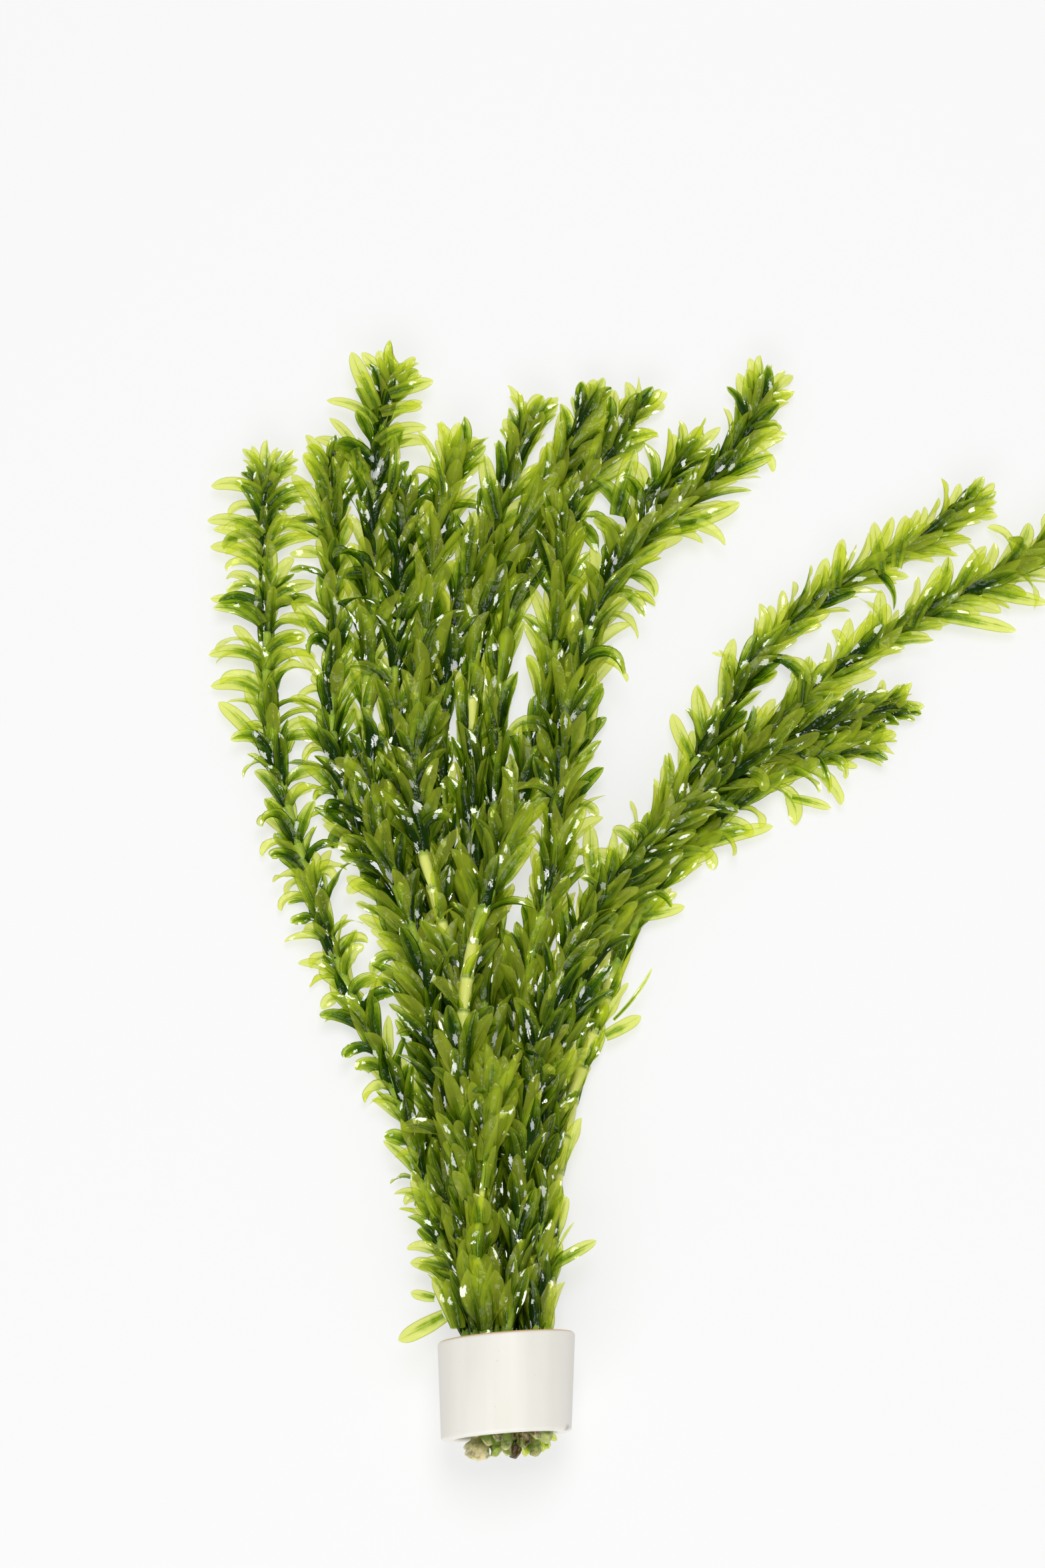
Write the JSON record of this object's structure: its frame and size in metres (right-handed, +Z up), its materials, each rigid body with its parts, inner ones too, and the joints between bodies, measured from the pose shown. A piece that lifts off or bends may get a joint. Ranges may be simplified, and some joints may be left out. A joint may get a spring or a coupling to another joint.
{
  "type": "brazilian waterweed bunch",
  "caption": "Wet bunch of leafy waterweed shoots lying on a surface, their cut ends held in a tapered ceramic ring.",
  "frame": {"origin": "middle of the ring's lowest flat facet, on the surface that the bunch lies on", "axes": "+Y from the ring towards the shoots' tips, +Z up from the surface, +X to the right seen from above"},
  "size_m": [0.2108, 0.2647, 0.0305],
  "materials": {
    "ceramic": "off-white, softly shining, with fine grey specks",
    "waterweed": "wet translucent leaves, yellow-green to dark green"
  },
  "bodies": {
    "root": {"ceramic_ring": "ceramic", "shoot_far_left": "waterweed", "shoot_left": "waterweed", "shoot_tallest": "waterweed", "shoot_under_tallest": "waterweed", "shoot_left_middle": "waterweed", "shoot_middle_low": "waterweed", "shoot_middle_upper": "waterweed", "shoot_middle_under": "waterweed", "shoot_yellow_stem": "waterweed", "shoot_behind_bend": "waterweed", "shoot_bend_right": "waterweed", "shoot_right_upper": "waterweed", "shoot_right_longest": "waterweed", "shoot_right_lower": "waterweed", "shoot_right_under": "waterweed", "shoot_short_front": "waterweed"}
  },
  "joints": []
}
